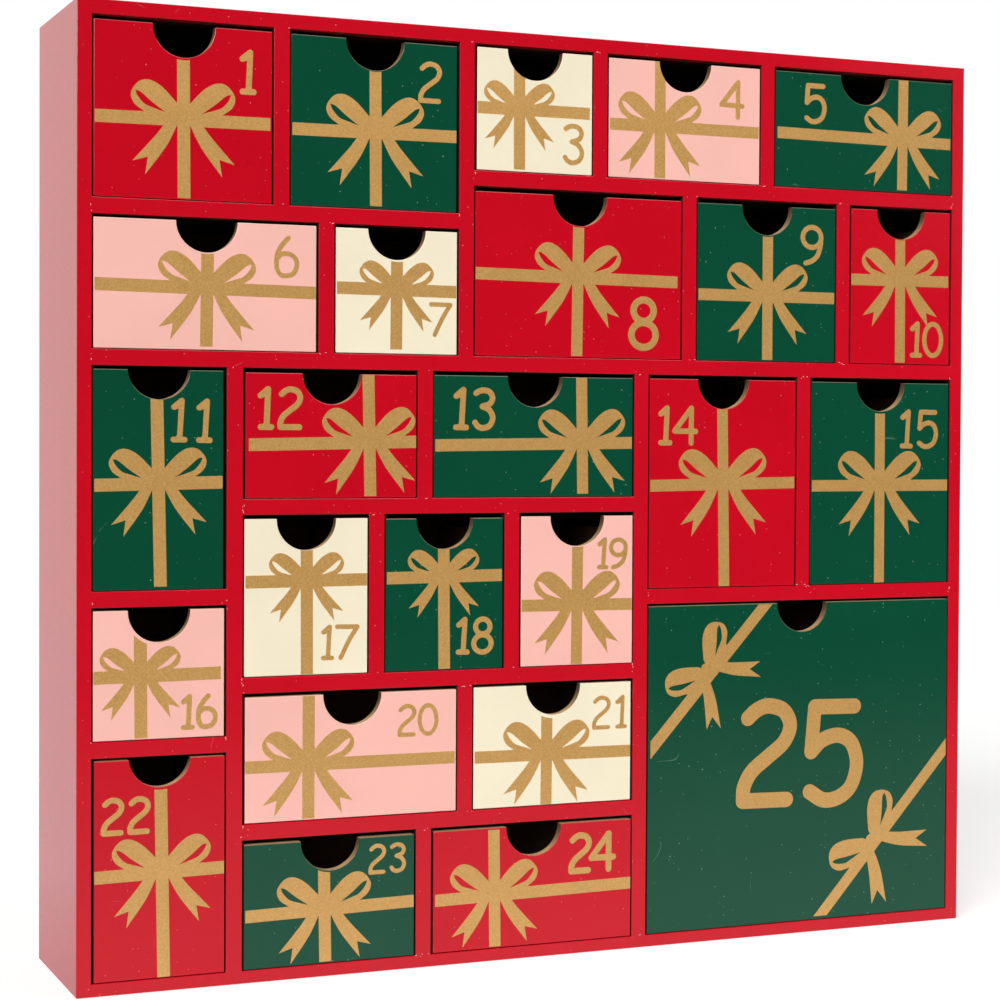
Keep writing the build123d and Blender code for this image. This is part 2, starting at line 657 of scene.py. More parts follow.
def lay_finishes(
    mesh: bpy.types.Mesh,
    finishes: Sequence[Finish],
    choose: Callable[[bpy.types.MeshPolygon], int] | None = None,
) -> None:
    """Give a mesh its finishes.

    Args:
        mesh: Mesh to dress.
        finishes: Finishes that it has.
        choose: Gives the index of a face's finish, where there is more than one.
    """
    mesh.materials.clear()
    for finish in finishes:
        mesh.materials.append(finish.material())
    if choose:
        for polygon in mesh.polygons:
            polygon.material_index = int(choose(polygon))


def place_piece(piece: bpy.types.Object, body: str, slot: str, *nodes: str) -> None:
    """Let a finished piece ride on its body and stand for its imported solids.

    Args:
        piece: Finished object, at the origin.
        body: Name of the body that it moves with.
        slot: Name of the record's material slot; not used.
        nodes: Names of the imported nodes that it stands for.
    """
    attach(piece, body)
    if nodes:
        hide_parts(*nodes)
    log.info("%s: %d faces, on %s", piece.name, len(piece.data.polygons), body)


def mark_faces(mesh: bpy.types.Mesh, name: str, strength: Callable[[bpy.types.MeshPolygon], float]) -> None:
    """Write a face attribute that a finish reads.

    "edge" chips paint and paints a highlight, "inside" leaves paint off for board in painted shade, "shade"
    paints shade.

    Args:
        mesh: Mesh to mark.
        name: Name of the attribute.
        strength: Gives a face's value.
    """
    marks = mesh.attributes.new(name, "FLOAT", "FACE")
    for polygon, mark in zip(mesh.polygons, marks.data):
        mark.value = strength(polygon)


def edge_wear(face: bpy.types.MeshPolygon) -> float:
    """Tell the wear and the painted highlight of a front's painted edge.

    Args:
        face: Face of a drawer front.

    Returns:
        0 on a flat face, 1 on a slanted one, and 2 where that faces up and gets a pale painted highlight.
    """
    if not -NEARLY_FLAT < face.normal.y < -FACING:
        return 0.0
    return 2.0 if face.normal.z > FACING else 1.0


def shade_of(face: bpy.types.MeshPolygon) -> float:
    """Tell the painted shade on a cut edge.

    Args:
        face: Face of a drawer front.

    Returns:
        0 on a front or back and where the edge faces up or down, most where it stands upright.
    """
    most, falling = 0.9, 1.1
    if abs(face.normal.y) >= HALF_TURNED:
        return 0.0
    return max(0.0, most - falling * face.normal.z**2)


def is_slanted(face: bpy.types.MeshPolygon) -> bool:
    """True for a face that lies along none of the three axes."""
    return max(abs(part) for part in face.normal) < ALONG_AXIS


def loose_boxes(mesh: bpy.types.Mesh) -> list[Box]:
    """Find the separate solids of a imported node.

    Args:
        mesh: The node's mesh.

    Returns:
        The lowest and highest corner of each solid.
    """
    merged = bmesh.new()
    merged.from_mesh(mesh)
    bmesh.ops.remove_doubles(merged, verts=merged.verts, dist=SAME_PLACE)
    boxes = []
    seen: set[bmesh.types.BMVert] = set()
    for start in merged.verts:
        if start in seen:
            continue
        waiting = [start]
        seen.add(start)
        part = []
        while waiting:
            vert = waiting.pop()
            part.append(vert.co.copy())
            for edge in vert.link_edges:
                other = edge.other_vert(vert)
                if other not in seen:
                    seen.add(other)
                    waiting.append(other)
        low = Vector([min(co[axis] for co in part) for axis in range(3)])
        high = Vector([max(co[axis] for co in part) for axis in range(3)])
        boxes.append((low, high))
    merged.free()
    return boxes


@dataclass(frozen=True)
class Opening:
    """The clear opening of one drawer in the front of the case, in metres."""

    left: float
    right: float
    low: float
    high: float

    def corners(self) -> list[Point]:
        """The four corners."""
        return [(x, z) for x in (self.left, self.right) for z in (self.low, self.high)]

    def on_edge(self, x: float, z: float, near: float) -> bool:
        """Tell whether a point lies on one of the four sides.

        Args:
            x: Place from left to right.
            z: Height.
            near: How far off still counts.

        Returns:
            True on a side.
        """
        inside = self.left - near <= x <= self.right + near and self.low - near <= z <= self.high + near
        sides = (x - self.left, x - self.right, z - self.low, z - self.high)
        return inside and min(abs(gap) for gap in sides) <= near


@dataclass
class Case:
    """The red case: four outer boards, the grid of shelves and partitions, the back panel and its brads."""

    openings: list[Opening]
    body: str = "case"
    ease: float = 0.22 * MM
    face_recess: float = 0.04 * MM
    panel_recess: float = 0.2 * MM
    head_diameter: float = 2.4 * MM
    head_thickness: float = 0.6 * MM
    shank_diameter: float = 1.2 * MM
    shank_length: float = 15.0 * MM
    head_sink: float = 0.08 * MM
    fleck_radius: float = 0.17 * MM
    flecks_per_joint: int = 7
    fleck_share: float = 0.3
    panel_ease: float = 0.25 * MM
    level_bareness: float = 0.12
    near: float = 0.02 * MM
    painted: tuple[str, ...] = (
        "top_board",
        "bottom_board",
        "left_side_board",
        "right_side_board",
        "shelves",
        "partitions",
    )
    outer: Box = field(init=False)

    def __post_init__(self) -> None:
        """Take the painted case's outer box from its top and bottom boards."""
        recess = Vector((0.0, self.face_recess, 0.0))
        self.outer = (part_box("bottom_board")[0] + recess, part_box("top_board")[1])

    def build(self) -> None:
        """Build and dress every piece of the case."""
        for name in self.painted:
            self.painted_boards(name)
        self.joint_flecks()
        self.back_panel()
        self.brads()
        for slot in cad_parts["corner_brads"].material_slots:
            slot.material = STEEL.material()

    def eased(self, middle: Vector) -> bool:
        """Tell whether an edge shows, on the outside of the case or round a drawer's opening.

        Args:
            middle: Middle of the edge.

        Returns:
            True for an edge that is eased.
        """
        sides = [min(abs(middle[k] - self.outer[0][k]), abs(middle[k] - self.outer[1][k])) for k in range(3)]
        if sum(gap <= self.near for gap in sides) >= 2:
            return True
        at_front = abs(middle.y - self.outer[0].y) <= self.near
        return at_front and any(opening.on_edge(middle.x, middle.z, self.near) for opening in self.openings)

    def bareness(self, face: bpy.types.MeshPolygon) -> float:
        """Tell how fast the paint ends behind the front of a face inside the case, giving way to painted
        shade.

        Args:
            face: Face of a painted board.

        Returns:
            0 on the case's outer sides, 1 on an upright face inside and little on a level one.
        """
        low, high = self.outer
        gaps = [min(abs(face.center[k] - low[k]), abs(face.center[k] - high[k])) for k in range(3)]
        if min(gaps) <= self.ease:
            return 0.0
        # Upright faces beside the drawers' gaps turn to painted shade fastest.
        return 1.0 if abs(face.normal.x) > UPRIGHT else self.level_bareness

    def is_shaded(self, face: bpy.types.MeshPolygon) -> bool:
        """Tell an eased lower edge above a drawer, which takes dark red as painted shade.

        Args:
            face: Face of a painted board.

        Returns:
            True on such an edge.
        """
        above = face.center.z > self.outer[0].z + 2 * self.ease
        return above and face.normal.y < -FACING and face.normal.z < -FACING

    @staticmethod
    def faces_inward(face: bpy.types.MeshPolygon) -> bool:
        """True for a face of the back panel that isn't seen from behind."""
        return face.normal.y <= FACING

    def front_ring(self, low: Vector, high: Vector) -> list[list[Point]]:
        """Split a board's front edges where a drawer's opening begins or ends.

        Args:
            low: Lowest corner of the board.
            high: Highest corner of the board.

        Returns:
            For each of the four sides, its points from one corner to just before the next.
        """
        turns = [(low.x, low.z), (high.x, low.z), (high.x, high.z), (low.x, high.z)]
        marks = [corner for opening in self.openings for corner in opening.corners()]
        ring = []
        for start, end in zip(turns, turns[1:] + turns[:1]):
            run = Vector(end) - Vector(start)
            along = run.normalized()
            steps = set()
            for mark in marks:
                offset = Vector(mark) - Vector(start)
                step = offset.dot(along)
                beside = (offset - along * step).length
                if beside <= self.near and self.near < step < run.length - self.near:
                    steps.add(round(step, 6))
            ring.append([tuple(Vector(start) + along * step) for step in [0.0, *sorted(steps)]])
        return ring

    def add_board(self, shape: bmesh.types.BMesh, low: Vector, high: Vector) -> None:
        """Add one board with its showing edges eased.

        Args:
            shape: Mesh that takes the board.
            low: Lowest corner.
            high: Highest corner.
        """
        board = bmesh.new()
        ring = self.front_ring(low, high)
        front = [[board.verts.new((x, low.y, z)) for x, z in side] for side in ring]
        back = [board.verts.new((side[0][0], high.y, side[0][1])) for side in ring]
        board.faces.new([vert for side in front for vert in side])
        board.faces.new(list(reversed(back)))
        for index, side in enumerate(front):
            after = (index + 1) % 4
            run = [*side, front[after][0]]
            board.faces.new([*reversed(run), back[index], back[after]])
        bmesh.ops.recalc_face_normals(board, faces=board.faces)
        showing = [edge for edge in board.edges if self.eased((edge.verts[0].co + edge.verts[1].co) / 2)]
        ease_edges(board, showing, self.ease)
        piece = bpy.data.meshes.new("board")
        board.to_mesh(piece)
        board.free()
        shape.from_mesh(piece)
        bpy.data.meshes.remove(piece)

    def painted_boards(self, node: str) -> None:
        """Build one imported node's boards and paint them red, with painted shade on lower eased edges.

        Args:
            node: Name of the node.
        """
        shape = bmesh.new()
        for low, high in loose_boxes(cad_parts[node].data):
            self.add_board(shape, low + Vector((0.0, self.face_recess, 0.0)), high)
        mesh = bpy.data.meshes.new(f"painted_{node}")
        shape.to_mesh(mesh)
        shape.free()
        # Eased lower edges above the drawers get the dark red of painted shade.
        lay_finishes(mesh, (CASE_RED, PAINTED_SHADE_RED), self.is_shaded)
        mark_faces(mesh, "edge", is_slanted)
        mark_faces(mesh, "inside", self.bareness)
        place_piece(new_object(f"painted_{node}", mesh), self.body, "case_red", node)

    def joint_flecks(self) -> None:
        """Scatter pale flecks of filler along the joints of the grid, with Geometry Nodes."""
        places = []
        turns = []
        y = self.outer[0].y
        for node, across in (("shelves", 0), ("partitions", 2)):
            for low, high in loose_boxes(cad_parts[node].data):
                for end in (low, high):
                    for step in range(self.flecks_per_joint):
                        spot = low.lerp(high, (step + 0.5) / self.flecks_per_joint)
                        spot[across] = end[across]
                        places.append((spot.x, y, spot.z))
                        turns.append(math.radians(90) if across == 0 else 0.0)
        mesh = bpy.data.meshes.new("fleck_places")
        mesh.from_pydata(places, [], [])
        mesh.attributes.new("turn", "FLOAT", "POINT").data.foreach_set("value", turns)
        piece = new_object("joint_flecks", mesh)
        sizes = {
            "Radius": self.fleck_radius,
            "Thickness": self.face_recess * 2,
            "Share": self.fleck_share,
            "Filler": FILLER.material(),
        }
        grow(piece, fleck_tree(), sizes)
        settle(piece)
        place_piece(piece, self.body, "case_red")

    def back_panel(self) -> None:
        """Build the bare back panel, a hair below the heads of its brads and darker on the inside as painted
        shade.
        """
        low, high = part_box("back_panel")
        board = (low, high - Vector((0.0, self.panel_recess, 0.0)))
        mesh = eased_boxes("bare_back_panel", [board], self.panel_ease)
        # The inner face takes the darkened tray board: painted shade.
        lay_finishes(mesh, (BACK_BOARD, TRAY_BOARD_IN_SHADE), self.faces_inward)
        place_piece(new_object("bare_back_panel", mesh), self.body, "back_board", "back_panel")

    def brads(self) -> None:
        """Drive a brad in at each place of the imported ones, with Geometry Nodes."""
        boxes = loose_boxes(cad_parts["back_panel_brads"].data)
        places = []
        for low, high in boxes:
            middle = (low + high) / 2
            places.append((middle.x, high.y - self.head_sink, middle.z))
        mesh = bpy.data.meshes.new("brad_places")
        mesh.from_pydata(places, [], [])
        piece = new_object("back_brad_heads", mesh)
        sizes = {
            "Head Diameter": self.head_diameter,
            "Head Thickness": self.head_thickness,
            "Shank Diameter": self.shank_diameter,
            "Shank Length": self.shank_length,
            "Steel": STEEL.material(),
        }
        grow(piece, brad_tree(), sizes)
        settle(piece)
        place_piece(piece, self.body, "brad_steel", "back_panel_brads")


def grow(piece: bpy.types.Object, tree: bpy.types.NodeTree, values: Mapping[str, Any]) -> None:
    """Let a geometry tree make the shape of a piece.

    Args:
        piece: Object that gets the tree as a modifier.
        tree: Geometry tree.
        values: Value of each named input.
    """
    modifier = piece.modifiers.new(tree.name, "NODES")
    modifier.node_group = tree
    for item in tree.interface.items_tree:
        if item.item_type == "SOCKET" and item.in_out == "INPUT" and item.name in values:
            modifier[item.identifier] = values[item.name]


def geometry_tree(name: str, sockets: Mapping[str, str]) -> tuple[Graph, bpy.types.Node, bpy.types.NodeTree]:
    """Start a geometry tree with named inputs and one geometry output.

    Args:
        name: Name of the tree.
        sockets: Socket type of each named input.

    Returns:
        The graph, its group input node and the tree.
    """
    tree = bpy.data.node_groups.new(name, "GeometryNodeTree")
    tree.interface.new_socket("Geometry", in_out="OUTPUT", socket_type="NodeSocketGeometry")
    tree.interface.new_socket("Geometry", in_out="INPUT", socket_type="NodeSocketGeometry")
    for label, kind in sockets.items():
        tree.interface.new_socket(label, in_out="INPUT", socket_type=kind)
    graph = Graph(tree)
    return graph, graph.node("NodeGroupInput"), tree


def end_tree(graph: Graph, shape: bpy.types.NodeSocket, finish: bpy.types.NodeSocket) -> None:
    """End a geometry tree: make its instances real and set their material.

    Args:
        graph: Graph of the tree.
        shape: Socket of the finished geometry.
        finish: Socket of the material.
    """
    real = graph.node("GeometryNodeRealizeInstances", None, {"Geometry": shape})
    inputs = {"Geometry": real.outputs[0], "Material": finish}
    dressed = graph.node("GeometryNodeSetMaterial", None, inputs)
    graph.node("NodeGroupOutput", None, {"Geometry": dressed.outputs[0]})


def moved(graph: Graph, shape: bpy.types.NodeSocket, by: bpy.types.NodeSocket) -> bpy.types.NodeSocket:
    """Geometry moved by a vector, in a geometry tree."""
    return graph.node("GeometryNodeTransform", None, {"Geometry": shape, "Translation": by}).outputs[0]


def brad_tree() -> bpy.types.NodeTree:
    """Geometry Nodes that set a brad on each point: a chamfered head and a shank along the depth.

    Returns:
        The tree, with its sizes and its steel as inputs.
    """
    sizes = ("Head Diameter", "Head Thickness", "Shank Diameter", "Shank Length")
    graph, given, tree = geometry_tree("brads", {**dict.fromkeys(sizes, NUMBER), "Steel": FINISH})
    head_width, thickness, shank_width, length = (Value(graph, given.outputs[size]) for size in sizes)
    radius = head_width * 0.5
    chamfer = 0.82
    head = graph.node(
        "GeometryNodeMeshCone",
        {"fill_type": "NGON"},
        {"Vertices": 20, "Radius Top": radius * chamfer, "Radius Bottom": radius, "Depth": thickness},
    )
    shank = graph.node(
        "GeometryNodeMeshCylinder",
        {"fill_type": "NGON"},
        {"Vertices": 10, "Radius": shank_width * 0.5, "Depth": length},
    )
    seated = moved(graph, head.outputs["Mesh"], graph.vector(Z=thickness * -1.0))
    driven = moved(graph, shank.outputs["Mesh"], graph.vector(Z=length * -0.5 - thickness * 0.5))
    both = graph.node("GeometryNodeJoinGeometry")
    graph.feed(both.inputs[0], driven)
    graph.feed(both.inputs[0], seated)
    lying, lean = math.radians(-90), math.radians(3)
    turn = graph.node(
        "FunctionNodeRandomValue",
        {"data_type": "FLOAT_VECTOR"},
        {"Min": (lying - lean, 0.0, 0.0), "Max": (lying + lean, 0.0, lean), "Seed": 24},
    )
    set_out = graph.node(
        "GeometryNodeInstanceOnPoints",
        None,
        {"Points": given.outputs["Geometry"], "Instance": both.outputs[0], "Rotation": turn.outputs[0]},
    )
    end_tree(graph, set_out.outputs[0], given.outputs["Steel"])
    return tree


def fleck_tree() -> bpy.types.NodeTree:
    """Geometry Nodes that leave a flat fleck on some of the points, long in the direction of its joint.

    Returns:
        The tree, with the flecks' sizes, their share of the points and their filler as inputs.
    """
    sizes = ("Radius", "Thickness", "Share")
    graph, given, tree = geometry_tree("joint_flecks", {**dict.fromkeys(sizes, NUMBER), "Filler": FINISH})
    flake = graph.node(
        "GeometryNodeMeshCylinder",
        {"fill_type": "NGON"},
        {"Vertices": 7, "Radius": given.outputs["Radius"], "Depth": given.outputs["Thickness"]},
    )
    kept = graph.node(
        "FunctionNodeRandomValue",
        {"data_type": "BOOLEAN"},
        {"Probability": given.outputs["Share"], "Seed": 3},
    )
    smallest, largest = (0.6, 0.45, 1.0), (3.6, 1.0, 1.0)
    stretch = graph.node(
        "FunctionNodeRandomValue",
        {"data_type": "FLOAT_VECTOR"},
        {"Min": smallest, "Max": largest, "Seed": 12},
    )
    stray = 0.5 * MM
    drift = graph.node(
        "FunctionNodeRandomValue",
        {"data_type": "FLOAT_VECTOR"},
        {"Min": (-stray, 0.0, -stray), "Max": (stray, 0.0, stray), "Seed": 8},
    )
    spots = graph.node(
        "GeometryNodeSetPosition",
        None,
        {"Geometry": given.outputs["Geometry"], "Offset": drift.outputs[0]},
    )
    sway = 0.5
    lean = graph.value("FunctionNodeRandomValue", 1, {"data_type": "FLOAT"}, {2: -sway, 3: sway, "Seed": 5})
    joint = graph.value(
        "GeometryNodeInputNamedAttribute",
        "Attribute",
        {"data_type": "FLOAT"},
        {"Name": "turn"},
    )
    set_out = graph.node(
        "GeometryNodeInstanceOnPoints",
        None,
        {
            "Points": spots.outputs[0],
            "Selection": kept.outputs[3],
            "Instance": flake.outputs["Mesh"],
            "Rotation": graph.vector(X=math.radians(-90), Y=joint + lean),
            "Scale": stretch.outputs[0],
        },
    )
    end_tree(graph, set_out.outputs[0], given.outputs["Filler"])
    return tree


def front_tree() -> bpy.types.NodeTree:
    """Geometry Nodes that make a drawer front: a plate with a half-round finger notch in its top edge.

    Returns:
        The tree, with the plate's sizes, its place and its bare board as inputs.
    """
    sizes = ("Width", "Thickness", "Height", "Notch Radius", "Notch Drop", "Notch Turn")
    sockets = {**dict.fromkeys(sizes, NUMBER), "Middle": PLACE, "Board": FINISH}
    graph, given, tree = geometry_tree("drawer_front", sockets)
    width, thickness, height, radius, drop, turn = (Value(graph, given.outputs[size]) for size in sizes)
    plate = graph.node("GeometryNodeMeshCube", None, {"Size": graph.vector(X=width, Y=thickness, Z=height)})
    round_bar = graph.node(
        "GeometryNodeMeshCylinder",
        {"fill_type": "NGON"},
        {"Vertices": NOTCH_FACETS, "Radius": radius, "Depth": thickness * 3.0},
    )
    laid = graph.node("FunctionNodeEulerToRotation", None, {"Euler": graph.vector(X=math.pi / 2, Y=turn)})
    bar = graph.node(
        "GeometryNodeTransform",
        None,
        {
            "Geometry": round_bar.outputs["Mesh"],
            "Translation": graph.vector(Z=height * 0.5 - drop),
            "Rotation": laid.outputs[0],
        },
    )
    cut = graph.node("GeometryNodeMeshBoolean", {"operation": "DIFFERENCE", "solver": "EXACT"})
    graph.feed(cut.inputs[0], plate.outputs["Mesh"])
    graph.feed(cut.inputs[1], bar.outputs[0])
    end_tree(graph, moved(graph, cut.outputs[0], given.outputs["Middle"]), given.outputs["Board"])
    return tree


def smooth(points: Sequence[Point], steps: int = 7) -> list[Point]:
    """Run a smooth curve through a few points.

    Args:
        points: Points that the curve passes through.
        steps: Number of short runs between two of them.

    Returns:
        Points along the curve.
    """
    known = [Vector(point) for point in points]
    padded = [2 * known[0] - known[1], *known, 2 * known[-1] - known[-2]]
    curve = []
    for before, start, end, after in zip(padded, padded[1:], padded[2:], padded[3:]):
        for step in range(steps):
            t = step / steps
            pull = (end - before) * t + (2 * before - 5 * start + 4 * end - after) * t**2
            spot = start + 0.5 * (pull + (3 * start - before - 3 * end + after) * t**3)
            curve.append((spot.x, spot.y))
    return [*curve, (known[-1].x, known[-1].y)]


def ellipse(centre: Point, radii: Point, steps: int = 48) -> list[Point]:
    """Points round an ellipse, anticlockwise."""
    angles = [2 * math.pi * step / steps for step in range(steps)]
    return [(centre[0] + radii[0] * math.cos(a), centre[1] + radii[1] * math.sin(a)) for a in angles]


def stroke_outline(path: Sequence[Point], width: float, cap_steps: int = 9) -> list[Point]:
    """The outline of a pen stroke with round ends.

    Args:
        path: Points along the middle of the stroke.
        width: Width of the stroke.
        cap_steps: Number of runs round each end.

    Returns:
        The closed outline, anticlockwise.
    """
    spots = [Vector(point) for point in path]
    runs = [(b - a).normalized() for a, b in zip(spots, spots[1:])]
    leans = [runs[0], *[(a + b).normalized() for a, b in zip(runs, runs[1:])], runs[-1]]
    sides = [Vector((-lean.y, lean.x)) * (width / 2) for lean in leans]
    right = [spot - side for spot, side in zip(spots, sides)]
    left = [spot + side for spot, side in zip(spots, sides)]
    outline = list(right)
    for spot, side, edge in ((spots[-1], -sides[-1], left), (spots[0], sides[0], [])):
        for step in range(1, cap_steps):
            turn = math.pi * step / cap_steps
            cos, sin = math.cos(turn), math.sin(turn)
            outline.append(spot + Vector((side.x * cos - side.y * sin, side.x * sin + side.y * cos)))
        outline.extend(reversed(edge))
    return [(spot.x, spot.y) for spot in outline]


class Stencil:
    """A flat print, put together from overlapping outlines and cut to the face it is printed on.

    Outlines are in millimetres from the middle of the face.
    """

    def __init__(self) -> None:
        """Start with no outlines."""
        self.outlines: list[list[Point]] = []
        self.holes: dict[int, list[int]] = {}
        self.bounds: list[int] = []
        self.cuts: list[int] = []

    def _keep(self, outline: Sequence[Point]) -> int:
        """Store an outline anticlockwise.

        Args:
            outline: Closed outline.

        Returns:
            Its index.
        """
        area = sum(a[0] * b[1] - b[0] * a[1] for a, b in zip(outline, [*outline[1:], outline[0]]))
        self.outlines.append(list(outline) if area > 0 else list(reversed(outline)))
        return len(self.outlines) - 1

    def ink(self, outline: Sequence[Point], *holes: Sequence[Point]) -> None:
        """Print inside an outline, but not inside its holes."""
        index = self._keep(outline)
        self.holes[index] = [self._keep(hole) for hole in holes]

    def keep_inside(self, outline: Sequence[Point]) -> None:
        """Leave out all that lies outside an outline."""
        self.bounds.append(self._keep(outline))

    def keep_outside(self, outline: Sequence[Point]) -> None:
        """Leave out all that lies inside an outline."""
        self.cuts.append(self._keep(outline))

    def _is_inked(self, over: set[int]) -> bool:
        """Tell whether a spot is printed.

        Args:
            over: Indices of the outlines that the spot lies in.

        Returns:
            True where there is ink.
        """
        if not all(index in over for index in self.bounds) or any(index in over for index in self.cuts):
            return False
        return any(index in over and not over.intersection(holes) for index, holes in self.holes.items())

    def mesh(self, name: str, middle: Point, front: float, back: float) -> bpy.types.Mesh:
        """Make the print as a thin closed sheet.

        Args:
            name: Name of the mesh.
            middle: Middle of the face, x and z in metres.
            front: Depth of the sheet's face, y in metres.
            back: Depth of the sheet's back, y in metres.

        Returns:
            The mesh.
        """
        spots: list[Vector] = []
        faces = []
        for outline in self.outlines:
            faces.append(list(range(len(spots), len(spots) + len(outline))))
            spots.extend(Vector(point) for point in outline)
        flat, _, triangles, _, _, over = delaunay_2d_cdt(spots, [], faces, 1, PRINT_WELD)
        inked = [list(tri) for tri, found in zip(triangles, over) if self._is_inked(set(found))]
        used = sorted({index for tri in inked for index in tri})
        order = {index: new for new, index in enumerate(used)}
        count = len(used)
        verts = []
        for depth in (front, back):
            verts += [(middle[0] + flat[k].x * MM, depth, middle[1] + flat[k].y * MM) for k in used]
        sheet = [[order[k] for k in tri] for tri in inked]
        runs = {(a, b) for tri in sheet for a, b in zip(tri, tri[1:] + tri[:1])}
        rim = [(a, b) for a, b in sorted(runs) if (b, a) not in runs]
        sides = [[b, a, a + count, b + count] for a, b in rim]
        rear = [[k + count for k in reversed(tri)] for tri in sheet]
        made = bpy.data.meshes.new(name)
        made.from_pydata(verts, [], sheet + sides + rear)
        made.validate()
        return made


@dataclass(frozen=True)
class Glyph:
    """A numeral, in hundredths of its height, with the pen's middle lines."""

    width: float
    straights: tuple[tuple[Point, ...], ...] = ()
    curves: tuple[tuple[Point, ...], ...] = ()
    rings: tuple[tuple[Point, Point], ...] = ()
    wedges: tuple[tuple[Point, ...], ...] = ()


GLYPHS = {
    "0": Glyph(67.5, rings=(((33.8, 50.0), (27.0, 43.2)),)),
    "1": Glyph(
        39.0,
        straights=(((24.4, 93.2), (20.8, 8.0)), ((23.8, 93.0), (6.7, 78.5)), ((7.0, 7.0), (32.3, 7.0))),
        wedges=(
            ((24.4, 95.0), (5.5, 75.5), (9.0, 72.3), (22.0, 77.5)),
            ((12.0, 13.0), (17.0, 20.0), (24.5, 20.0), (29.0, 13.0)),
        ),
    ),
    "2": Glyph(
        59.5,
        straights=(((6.4, 7.0), (51.3, 7.0)),),
        curves=(
            ((9.6, 82.4), (18.8, 89.9), (30.6, 93.4), (46.4, 88.7), (53.4, 75.0), (47.4, 60.0), (32.2, 47.5),
             (15.2, 34.0), (7.2, 20.0), (6.4, 7.0)),
        ),
    ),
    "3": Glyph(
        56.8,
        curves=(
            ((8.0, 86.3), (17.0, 91.5), (29.0, 93.4), (42.0, 89.0), (48.8, 76.5), (42.5, 63.0), (24.0, 56.3)),
            ((24.0, 56.3), (41.0, 48.5), (50.0, 31.0), (43.0, 13.0), (27.0, 6.6), (14.0, 10.0), (6.6, 18.8)),
        ),
    ),
    "4": Glyph(
        72.0,
        straights=(((52.9, 93.3), (7.0, 36.4)), ((7.0, 36.4), (65.3, 35.4)), ((53.3, 93.3), (52.9, 6.7))),
    ),
    "5": Glyph(
        63.0,
        straights=(((10.6, 93.3), (52.4, 93.3)), ((10.6, 93.3), (7.8, 52.0))),
        curves=(
            ((7.9, 52.0), (19.4, 62.5), (36.3, 66.5), (50.3, 59.0), (56.4, 40.0), (51.0, 19.5), (38.0, 9.0),
             (22.0, 7.0), (7.2, 15.0)),
        ),
    ),
    "6": Glyph(
        61.6,
        curves=(
            ((34.8, 93.4), (20.0, 77.0), (9.5, 58.0), (6.6, 38.0), (8.5, 21.0), (17.0, 9.0), (28.5, 6.6)),
            ((28.5, 6.6), (45.5, 11.5), (54.8, 28.0), (52.0, 46.0), (38.0, 56.5), (20.0, 56.3), (9.5, 47.0)),
        ),
    ),
    "7": Glyph(
        72.0,
        straights=(((6.7, 93.3), (65.0, 93.0)),),
        curves=(((65.3, 92.5), (50.5, 70.0), (36.6, 45.0), (18.0, 6.7)),),
    ),
    "8": Glyph(62.5, rings=(((31.2, 74.0), (20.4, 19.6)), ((31.2, 29.2), (24.6, 22.8)))),
    "9": Glyph(
        64.0,
        curves=(((57.1, 69.2), (54.5, 45.0), (46.0, 24.0), (31.0, 12.0), (14.9, 6.7)),),
        rings=(((31.9, 69.2), (25.2, 24.2)),),
    ),
}


@dataclass(frozen=True)
class Label:
    """A printed number.

    Its middle is in millimetres from the middle of the front, its weight is the pen's share of its
    height, its tilt is in degrees, and drop sets each numeral lower than the one before.
    """

    x: float
    z: float
    height: float
    gap: float = 0.0
    weight: float = 0.13
    tilt: float = 0.0
    drop: float = 0.0

    def draw(self, stencil: Stencil, number: int) -> None:
        """Add the number to a print.

        Args:
            stencil: Print that takes the number.
            number: Number to write.
        """
        glyphs = [GLYPHS[digit] for digit in str(number)]
        unit = self.height / 100
        total = sum(glyph.width * unit for glyph in glyphs) + self.gap * (len(glyphs) - 1)
        left = self.x - total / 2
        low = self.z - self.height / 2 + self.drop * (len(glyphs) - 1) / 2
        pen = self.weight * self.height
        for glyph in glyphs:
            self._draw_glyph(stencil, glyph, (left, low), unit, pen)
            left += glyph.width * unit + self.gap
            low -= self.drop

    def _draw_glyph(self, stencil: Stencil, glyph: Glyph, corner: Point, unit: float, pen: float) -> None:
        """Add one numeral.

        Args:
            stencil: Print that takes the numeral.
            glyph: Its shape.
            corner: Its lower left corner.
            unit: Millimetres for each hundredth of its height.
            pen: Width of the stroke.
        """
        cos, sin = math.cos(math.radians(self.tilt)), math.sin(math.radians(self.tilt))

        def spot(point: Point) -> Point:
            """A glyph's point on the front."""
            x, z = corner[0] + point[0] * unit - self.x, corner[1] + point[1] * unit - self.z
            return (self.x + x * cos - z * sin, self.z + x * sin + z * cos)

        for path in glyph.straights:
            stencil.ink(stroke_outline([spot(point) for point in path], pen))
        for path in glyph.curves:
            stencil.ink(stroke_outline(smooth([spot(point) for point in path]), pen))
        for centre, radii in glyph.rings:
            outer = (radii[0] * unit + pen / 2, radii[1] * unit + pen / 2)
            inner = (radii[0] * unit - pen / 2, radii[1] * unit - pen / 2)
            stencil.ink(ellipse(spot(centre), outer), ellipse(spot(centre), inner))
        for wedge in glyph.wedges:
            stencil.ink([spot(point) for point in wedge])


